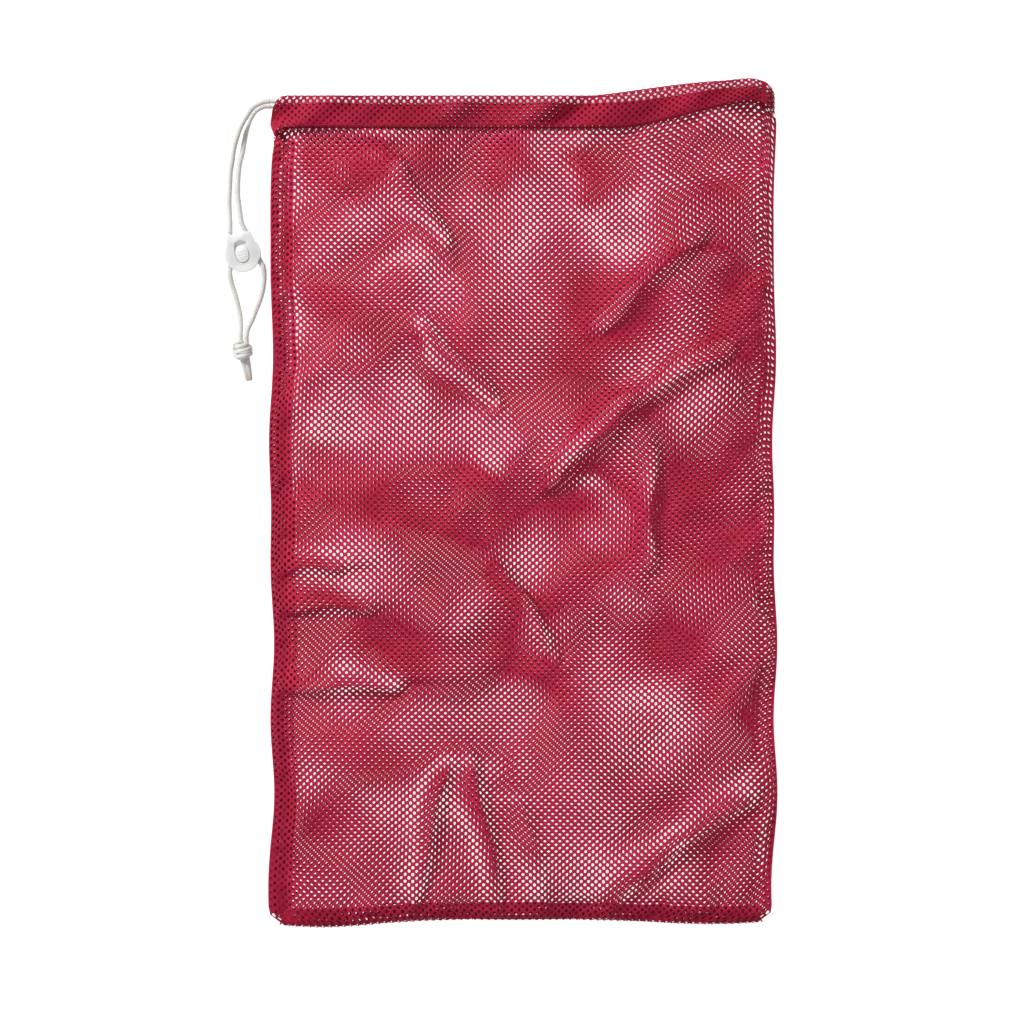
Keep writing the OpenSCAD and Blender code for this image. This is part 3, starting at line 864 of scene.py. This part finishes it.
def settle(start):
    """Cloth with a little more fabric than its seams span, held round its edge, left to buckle."""
    uu, vv = np.meshgrid(np.linspace(0, 1, SIM_ACROSS + 1), np.linspace(0, 1, SIM_ALONG + 1))
    grid = start(uu, vv)
    row = SIM_ACROSS + 1
    faces = [
        (j * row + i, j * row + i + 1, (j + 1) * row + i + 1, (j + 1) * row + i)
        for j in range(SIM_ALONG)
        for i in range(SIM_ACROSS)
    ]
    cloth = new_mesh("settling", grid.reshape(-1, 3), faces, MESH_FABRIC)
    held = cloth.vertex_groups.new(name="held")
    rim = [
        j * row + i
        for j in range(SIM_ALONG + 1)
        for i in range(row)
        if i in (0, SIM_ACROSS) or j in (0, SIM_ALONG)
    ]
    held.add(rim, 1.0, "REPLACE")
    modifier = cloth.modifiers.new("cloth", "CLOTH")
    settings = modifier.settings
    settings.vertex_group_mass = "held"
    settings.shrink_min = -CLOTH_EASE
    settings.mass = 0.1
    settings.quality = 6
    settings.tension_stiffness = 20
    settings.compression_stiffness = 20
    settings.bending_stiffness = 0.4
    settings.air_damping = 4
    settings.effector_weights.gravity = 0
    modifier.collision_settings.use_collision = False
    modifier.point_cache.frame_start = 1
    modifier.point_cache.frame_end = SIM_FRAMES
    for at in range(1, SIM_FRAMES + 1):
        SCENE.frame_set(at)
    done = cloth.evaluated_get(bpy.context.evaluated_depsgraph_get())
    settled = np.empty(len(cloth.data.vertices) * 3)
    done.data.vertices.foreach_get("co", settled)
    settled = settled.reshape(grid.shape)
    bpy.data.objects.remove(cloth)
    SCENE.frame_set(1)
    move = settled - grid
    size = np.linalg.norm(move, axis=-1, keepdims=True)
    return grid + move * np.minimum(1, MOVE_CAP / np.maximum(size, 1e-9))


def through(grid, u, v):
    """A smooth surface through a grid of points, at the shares (u, v)."""
    rows, columns = grid.shape[0] - 1, grid.shape[1] - 1
    x = np.clip(u, 0, 1) * columns
    y = np.clip(v, 0, 1) * rows
    i, j = np.minimum(x.astype(int), columns - 1), np.minimum(y.astype(int), rows - 1)

    def weights(t):
        return (
            -0.5 * t + t**2 - 0.5 * t**3,
            1 - 2.5 * t**2 + 1.5 * t**3,
            0.5 * t + 2 * t**2 - 1.5 * t**3,
            -0.5 * t**2 + 0.5 * t**3,
        )

    total = 0
    for b, wy in enumerate(weights(y - j)):
        for a, wx in enumerate(weights(x - i)):
            at = grid[np.clip(j + b - 1, 0, rows), np.clip(i + a - 1, 0, columns)]
            total = total + (wx * wy)[:, None] * at
    return total


FRONT_GRID = settle(front_start)


def crease_edges(x, y):
    """The sharp edges of the creases: how far the cloth moves across, along and up."""
    move = np.zeros((len(x), 3))
    for start, end, rise in CREASES:
        first, run = crease_line(start, end)
        length = np.linalg.norm(run)
        run = run / length
        far_x, far_y = x - first[0], y - first[1]
        along = far_x * run[0] + far_y * run[1]
        bend = CREASE_BEND * np.sin(2.2 * math.pi * along / length + 9 * start[0])
        off = far_y * run[0] - far_x * run[1] - bend
        share = along / length
        taper = smooth_step(share * 4 + 0.6) * smooth_step((1 - share) * 4 + 0.6)
        reach = np.where(off > 0, EDGE_STEEP, EDGE_SOFT)
        up = EDGE_RISE * rise * MM * taper * np.exp(-((off / reach) ** 2))
        move[:, 0] -= EDGE_LEAN * up * run[1]
        move[:, 1] += EDGE_LEAN * up * run[0]
        move[:, 2] += up
    return move


def front_place(u, v):
    """The front panel: the settled cloth with the sharp edges of its creases."""
    settled = through(FRONT_GRID, u, v)
    full = fullness(np.clip(u, 0, 1), np.clip(v, 0, 1))
    return settled + full[:, None] * crease_edges(settled[:, 0], settled[:, 1])


def back_place(u, v):
    """The back panel, flat on the table, its holes in or out of line with the front panel's."""
    u0, v0 = np.clip(u, 0, 1), np.clip(v, 0, 1)
    above = through(FRONT_GRID, u, v)
    x, y = above[:, 0], above[:, 1]
    closed = np.ones_like(x)
    wander_x, wander_y = SPOT_WANDER * SPOT_NOISE_X(x, y), SPOT_WANDER * SPOT_NOISE_Y(x, y)
    for us, vs in OPEN_SPOTS:
        sx, sy = outline_point(np.array(us), np.array(vs))
        far = np.hypot((x + wander_x - sx) / SPOT_REACH_X, (y + wander_y - sy) / SPOT_REACH_Y)
        closed *= 1 - np.exp(-(far**2))
    # The layers lie in step at the left seam and at the right-hand fold
    edge = np.maximum(np.clip(1 - 14 * u0, 0, 1), np.clip(1 - 30 * (1 - u0), 0, 1))
    inside = np.clip(12 * np.minimum(v0, 1 - v0), 0, 1)
    shift_x = -(1 - edge) * closed * (LAYER_SHIFT + LAYER_DRIFT * DRIFT_X(x, y))
    shift_y = edge * CELL_H / 2 + (1 - edge) * closed * inside * LAYER_SLIP * DRIFT_Y(x, y)
    return np.stack([x + shift_x, y + shift_y, np.full_like(x, MESH_T / 2)], axis=-1)


PANEL_W = 2 * HALF_W
PANEL_L = MOUTH_HIGH.y - MOUTH_RISE / 2 - HEM_H - FOOT_Y


def make_panels():
    """The nets of the front and the back panel."""
    panels = []
    for name, place, node in (
        ("front_panel_net", front_place, "front_panel"),
        ("back_panel_net", back_place, "back_panel"),
    ):
        piece = net(name, PANEL_W, PANEL_L, place, MESH_FABRIC)
        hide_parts(node)
        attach(piece, "root")
        panels.append(piece)
    return panels


front_panel, back_panel = make_panels()


# ---------------------------------------------------------------- drawstring channel

HEM_WRINKLE = SmoothNoise(28 * MM)
# Painted shade: the channel and the seam allowances are the same yarn as the panels, coloured darker for
# the shade inside their doubled layers
HEM_PAINTED_SHADE = fabric_material(
    "hem_fabric", (0.29, 0.005, 0.028), (0.38, 0.008, 0.040), (0.46, 0.011, 0.050)
)
LOOP_L = 2 * (HEM_H - HEM_R) + math.pi * HEM_R
FOLD_R = BAG_TOP_Z / 2
FOLD_X = HALF_W - FOLD_R - HEM_H * math.sin(MOUTH_SLANT)
HEM_LENGTH = FOLD_X + HALF_W
# The channel's two layers come together over this height, down to this gap, at the stitching
HEM_TAPER = 9 * MM
HEM_LAP = 1.4 * MM
# Its wrinkles fade out before the right-hand turn, and are weak at the back
HEM_FADE = 14 * MM
BACK_WRINKLE = 0.2
ABOVE_TABLE = 0.3 * MM
HEM_FOLD_RISE = 2.6 * MM
# The channel's open left end: a round lobe, with a narrow waist at the stitching
HEM_LOBE = 5 * MM
HEM_WAIST = 4 * MM


def hem_section(v):
    """Round the channel: how far below the mouth's fold, and how deep under its flat face."""
    run = np.clip(v, 0, 1) * LOOP_L
    flat = HEM_H - HEM_R
    turn = np.clip((run - flat) / HEM_R, 0, math.pi)
    under = run < flat
    round_part = (run >= flat) & (run < flat + math.pi * HEM_R)
    down = np.where(under, HEM_H - run, HEM_H - (LOOP_L - run))
    down = np.where(round_part, HEM_R - HEM_R * np.sin(turn), down)
    deep = np.where(under, HEM_T, 0.0)
    deep = np.where(round_part, HEM_R + HEM_R * np.cos(turn), deep)
    lap = smooth_step((down - (HEM_H - HEM_TAPER)) / HEM_TAPER)
    return down, np.where(deep > HEM_R, deep - (HEM_T - HEM_LAP) * lap, deep)


def hem_ripple(x, y, down):
    """Wrinkles that the gathered channel keeps: free between its fold and its stitching."""
    free = np.sin(math.pi * np.clip(down / HEM_H, 0, 1)) ** 0.7
    fade = np.clip((FOLD_X - x) / HEM_FADE, 0, 1)
    return HEM_FOLD_RISE * free * fade * HEM_WRINKLE(0.75 * x - 0.6 * y, 0.3 * y)


def hem_end(down):
    """How far the channel's left end is drawn in: a round lobe over a narrow waist."""
    share = np.clip(down / HEM_H, 0, 1)
    lobe = 1 - np.sqrt(1 - (1 - share) ** 2 * 0.96)
    return HEM_LOBE * lobe + HEM_WAIST * smooth_step(2.5 * share - 1.5)


def hem_place(front):
    """The front or the back channel, laid out by its share across the bag and round its section."""

    def place(u, v):
        u = np.clip(u, 0, 1)
        down, deep = hem_section(v)
        x = -HALF_W + u * HEM_LENGTH
        foot = mouth_y(x) - hem_depth(x)
        top = mouth_y(x, back=not front)
        y = top + (foot - top) * down / HEM_H
        x = x + hem_end(down) * np.clip(1 - 8 * u, 0, 1)
        if front:
            z = BAG_TOP_Z - deep + hem_ripple(x, y, down)
        else:
            z = np.maximum(deep + BACK_WRINKLE * np.abs(hem_ripple(x, y, down)), ABOVE_TABLE)
        return np.stack([x, y, z], axis=-1)

    return place


def hem_turn_place(u, v):
    """The channel round the right-hand fold of the bag, from the back up to the front."""
    down, deep = hem_section(v)
    spin = math.pi * (np.clip(u, 0, 1) - 0.5)
    x = FOLD_X + (FOLD_R - deep) * np.cos(spin)
    foot = mouth_y(x) - hem_depth(x)
    share = smooth_step(u)
    top = mouth_y(x, back=True) * (1 - share) + mouth_y(x) * share
    y = top + (foot - top) * down / HEM_H
    z = np.maximum(FOLD_R + (FOLD_R - deep) * np.sin(spin), ABOVE_TABLE)
    return np.stack([x, y, z], axis=-1)


def make_hem():
    """The nets of the channel: front wall, back wall and right-hand turn."""
    walls = []
    for name, width, place, node, flip in (
        ("hem_front_net", HEM_LENGTH, hem_place(True), "hem_channel_front", True),
        ("hem_back_net", HEM_LENGTH, hem_place(False), "hem_channel_back", False),
        ("hem_turn_net", math.pi * FOLD_R, hem_turn_place, "hem_channel_fold", True),
    ):
        piece = net(name, width, LOOP_L, place, HEM_PAINTED_SHADE, flip=flip, hole=0.9)
        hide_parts(node)
        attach(piece, "root")
        walls.append(piece)
    return walls


# The drawstring in the channel: how far below the mouth's fold it runs, and where it turns back
HEM_CORD_DOWN_FRONT = 3.2 * MM
HEM_CORD_DOWN_BACK = 4 * MM
UNDER_WRINKLE = 0.4 * MM
HEM_CORD_START_X = -HALF_W + 14 * MM
HEM_CORD_TURN_X = HALF_W - 9 * MM


def cord_along_hem(front):
    """The cord's route from the channel's open end to the right-hand turn, under the wrinkles."""
    down, z = (HEM_CORD_DOWN_FRONT, BAG_TOP_Z - HEM_R) if front else (HEM_CORD_DOWN_BACK, HEM_R)
    route = in_mm([HEM_CORD_EXIT_FRONT if front else HEM_CORD_EXIT_BACK])
    for x in np.linspace(HEM_CORD_START_X, HEM_CORD_TURN_X, 40):
        y = mouth_y(x, back=not front) - down
        ripple = min(hem_ripple(x, y, down), hem_ripple(x, y - CORD_R, CORD_R + down))
        rise = ripple - UNDER_WRINKLE if front else BACK_WRINKLE * abs(ripple)
        route.append(np.array((x, y, z + rise)))
    return route


def cord_round_turn():
    """The cord's route inside the right-hand turn, from the back channel up to the front one."""
    low, high = HEM_R, BAG_TOP_Z - HEM_R
    y_front = mouth_y(HEM_CORD_TURN_X) - HEM_CORD_DOWN_FRONT
    y_back = mouth_y(HEM_CORD_TURN_X, back=True) - HEM_CORD_DOWN_BACK
    return [
        np.array((
            HEM_CORD_TURN_X + (high - low) / 2 * math.cos(a),
            y_front * (1 + math.sin(a)) / 2 + y_back * (1 - math.sin(a)) / 2,
            (high + low) / 2 + (high - low) / 2 * math.sin(a),
        ))
        for a in np.linspace(-math.pi / 2, math.pi / 2, 12)
    ]


def make_cord_in_hem():
    """The drawstring all the way round the mouth."""
    shapes = []
    for route in (cord_along_hem(True), cord_along_hem(False), cord_round_turn()):
        path, _ = smooth_path(route, step=0.8 * MM)
        shapes.append(braid(path, CORD_R, sides=20))
    cord = new_mesh("drawstring_braid", *join_shapes(shapes), CORD_IN_HEM_PAINTED_LIGHT)
    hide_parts("drawstring_in_hem")
    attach(cord, "root")


hem_front, hem_back, hem_turn = make_hem()
make_cord_in_hem()


# ---------------------------------------------------------------- seams and stitches

THREAD_RED = fabric_material("thread", (0.30, 0.006, 0.034), (0.38, 0.010, 0.046), (0.46, 0.014, 0.058))
THREAD_R = 0.4 * MM
STITCH_L = 2.6 * MM
STITCH_GAP = 0.5 * MM
STITCH_INSET = 2 * MM
SEAM_TO_EDGE = 0.8 * MM


def stitch_row(place, length):
    """Lock stitches along a line: short plump threads that dip into the cloth at each end."""
    count = max(1, int(length / (STITCH_L + STITCH_GAP)))
    shapes = []
    for k in range(count):
        start = k * (STITCH_L + STITCH_GAP) / length
        end = start + STITCH_L / length
        share = np.linspace(start, end, 7)
        points = place(share)
        points[:, 2] += THREAD_R * (np.sin(np.linspace(0, math.pi, 7)) - 0.4)
        thick = THREAD_R * (0.55 + 0.45 * np.sin(np.linspace(0, math.pi, 7)))
        shapes.append(braid(points, thick + PLAIT_HEIGHT / 2, sides=8))
    return join_shapes(shapes)


def allowance_place(low, high, across_x):
    """A folded strip lying between the panels, in two layers."""

    def place(u, v):
        u, v = np.clip(u, 0, 1), np.clip(v, 0, 1)
        layer = np.abs(2 * u - 1)
        side = np.where(u < 0.5, 1.0, -1.0)
        if across_x:
            x = low[0] + (high[0] - low[0]) * layer
            y = low[1] + (high[1] - low[1]) * v
        else:
            x = low[0] + (high[0] - low[0]) * v
            y = low[1] + (high[1] - low[1]) * layer
        z = low[2] + (high[2] - low[2]) * (0.5 + 0.3 * side * np.clip(4 * layer, 0, 1))
        return np.stack([*as_laid(x, y), z], axis=-1)

    return place


def make_seams():
    """The nets of the two seam allowances."""
    strips = []
    for name, node, across_x, width in (
        ("side_seam_folded", "side_seam_allowance", True, SEAM_W),
        ("bottom_seam_folded", "bottom_seam_allowance", False, BOTTOM_SEAM_W),
    ):
        low, high = (list(corner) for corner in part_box(node))
        if across_x:
            low[0], low[1] = BAG_LOW.x + SEAM_TO_EDGE, FOOT_Y + CORNER_R / 2
        else:
            low[0], high[0] = BAG_LOW.x + CORNER_R / 2, BAG_HIGH.x - CORNER_R / 2
            low[1] = FOOT_Y + SEAM_TO_EDGE
        length = (high[1] - low[1]) if across_x else (high[0] - low[0])
        # The seam allowances take the channel's darker colour, which is painted shade
        piece = net(name, 2 * width, length, allowance_place(low, high, across_x), HEM_PAINTED_SHADE, hole=0.65)
        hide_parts(node)
        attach(piece, "root")
        strips.append(piece)
    return strips


def straight_row(node, along_x):
    """A line of stitches through the middle of a CAD stitch row, and its length."""
    low, high = (np.array(corner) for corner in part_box(node))
    axis = 0 if along_x else 1
    length = high[axis] - low[axis]
    middle = (low + high) / 2

    def place(t):
        points = np.tile(middle, (len(t), 1))
        points[:, axis] = low[axis] + t * length
        points[:, 0], points[:, 1] = as_laid(points[:, 0], points[:, 1])
        points[:, 2] = high[2] - THREAD_R
        return points

    return place, length


def backtack_rows():
    """The two lines of the backtack, up the sides of its CAD node, and their lengths."""
    low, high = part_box("seam_backtack")
    length = high[1] - low[1]
    rows = []
    for x in (low[0] + THREAD_R, high[0] - THREAD_R):

        def place(t, x=x):
            return np.stack([x + 0 * t, low[1] + t * length, high[2] - THREAD_R + 0 * t], axis=1)

        rows.append((place, length))
    return rows


def make_stitches():
    """Every row of stitches, by its name."""
    rows = {
        "side_seam_stitches": ("side_seam_stitching", [straight_row("side_seam_stitching", False)]),
        "bottom_seam_stitches": ("bottom_seam_stitching", [straight_row("bottom_seam_stitching", True)]),
    }
    for name, node, front in (
        ("hem_stitches_front", "hem_stitching_front", True),
        ("hem_stitches_back", "hem_stitching_back", False),
    ):
        place = hem_place(front)
        wall = 1 - STITCH_INSET / LOOP_L if front else STITCH_INSET / LOOP_L

        def on_hem(t, place=place, wall=wall):
            points = place(t, 0 * t + wall)
            points[:, 2] += THREAD_R
            return points

        rows[name] = (node, [(on_hem, HEM_LENGTH)])
    rows["seam_backtack_stitches"] = ("seam_backtack", backtack_rows())
    sewn = {}
    for name, (node, lines) in rows.items():
        shapes = [stitch_row(place, length) for place, length in lines]
        piece = new_mesh(name, *join_shapes(shapes), THREAD_RED)
        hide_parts(node)
        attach(piece, "root")
        sewn[name] = piece
    return sewn


def declare_sheets(seams, sewn):
    """Takes the back channel's stitches out of the stitch rows and lists them with the back channel."""
    on_back = [hem_back, sewn.pop("hem_stitches_back")]


declare_sheets(make_seams(), make_stitches())
